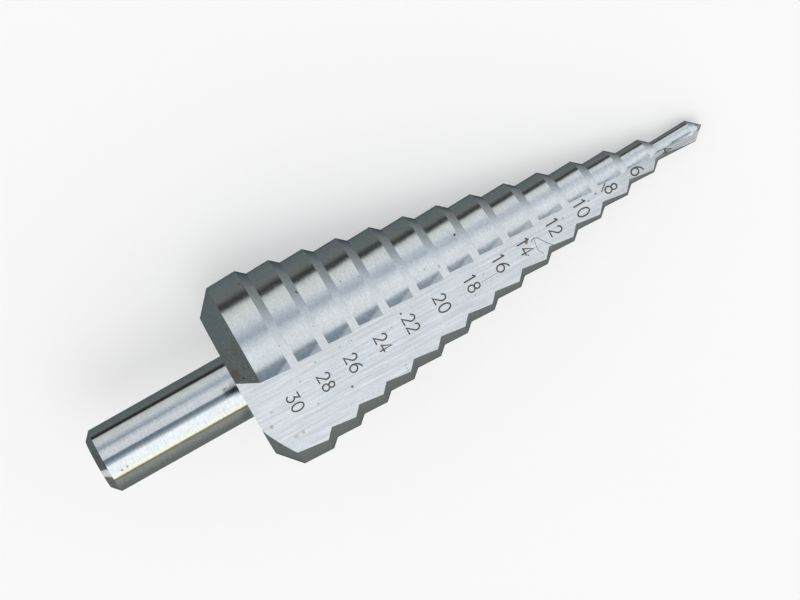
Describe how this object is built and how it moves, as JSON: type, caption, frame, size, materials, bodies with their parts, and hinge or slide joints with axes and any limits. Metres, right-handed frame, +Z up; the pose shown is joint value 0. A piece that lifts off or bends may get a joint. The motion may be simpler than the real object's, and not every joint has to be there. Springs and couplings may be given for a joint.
{
  "type": "step drill bit",
  "caption": "Straight-flute step drill bit with a plain round shank, for drilling and widening holes in sheet metal",
  "frame": {"origin": "centre of the bounding box's bottom face, on the surface that the drill lies on", "axes": "+X along the drill from the shank towards the point, seen from above; +Z up; the drill lies on one flute with its point tipped down and the numbered flute up"},
  "size_m": [0.0993, 0.0296, 0.0266],
  "materials": {
    "ground_steel": "bright ground tool steel, fine grinding lines, a few rust specks"
  },
  "bodies": {
    "root": {"step_drill": "ground_steel"}
  },
  "joints": []
}
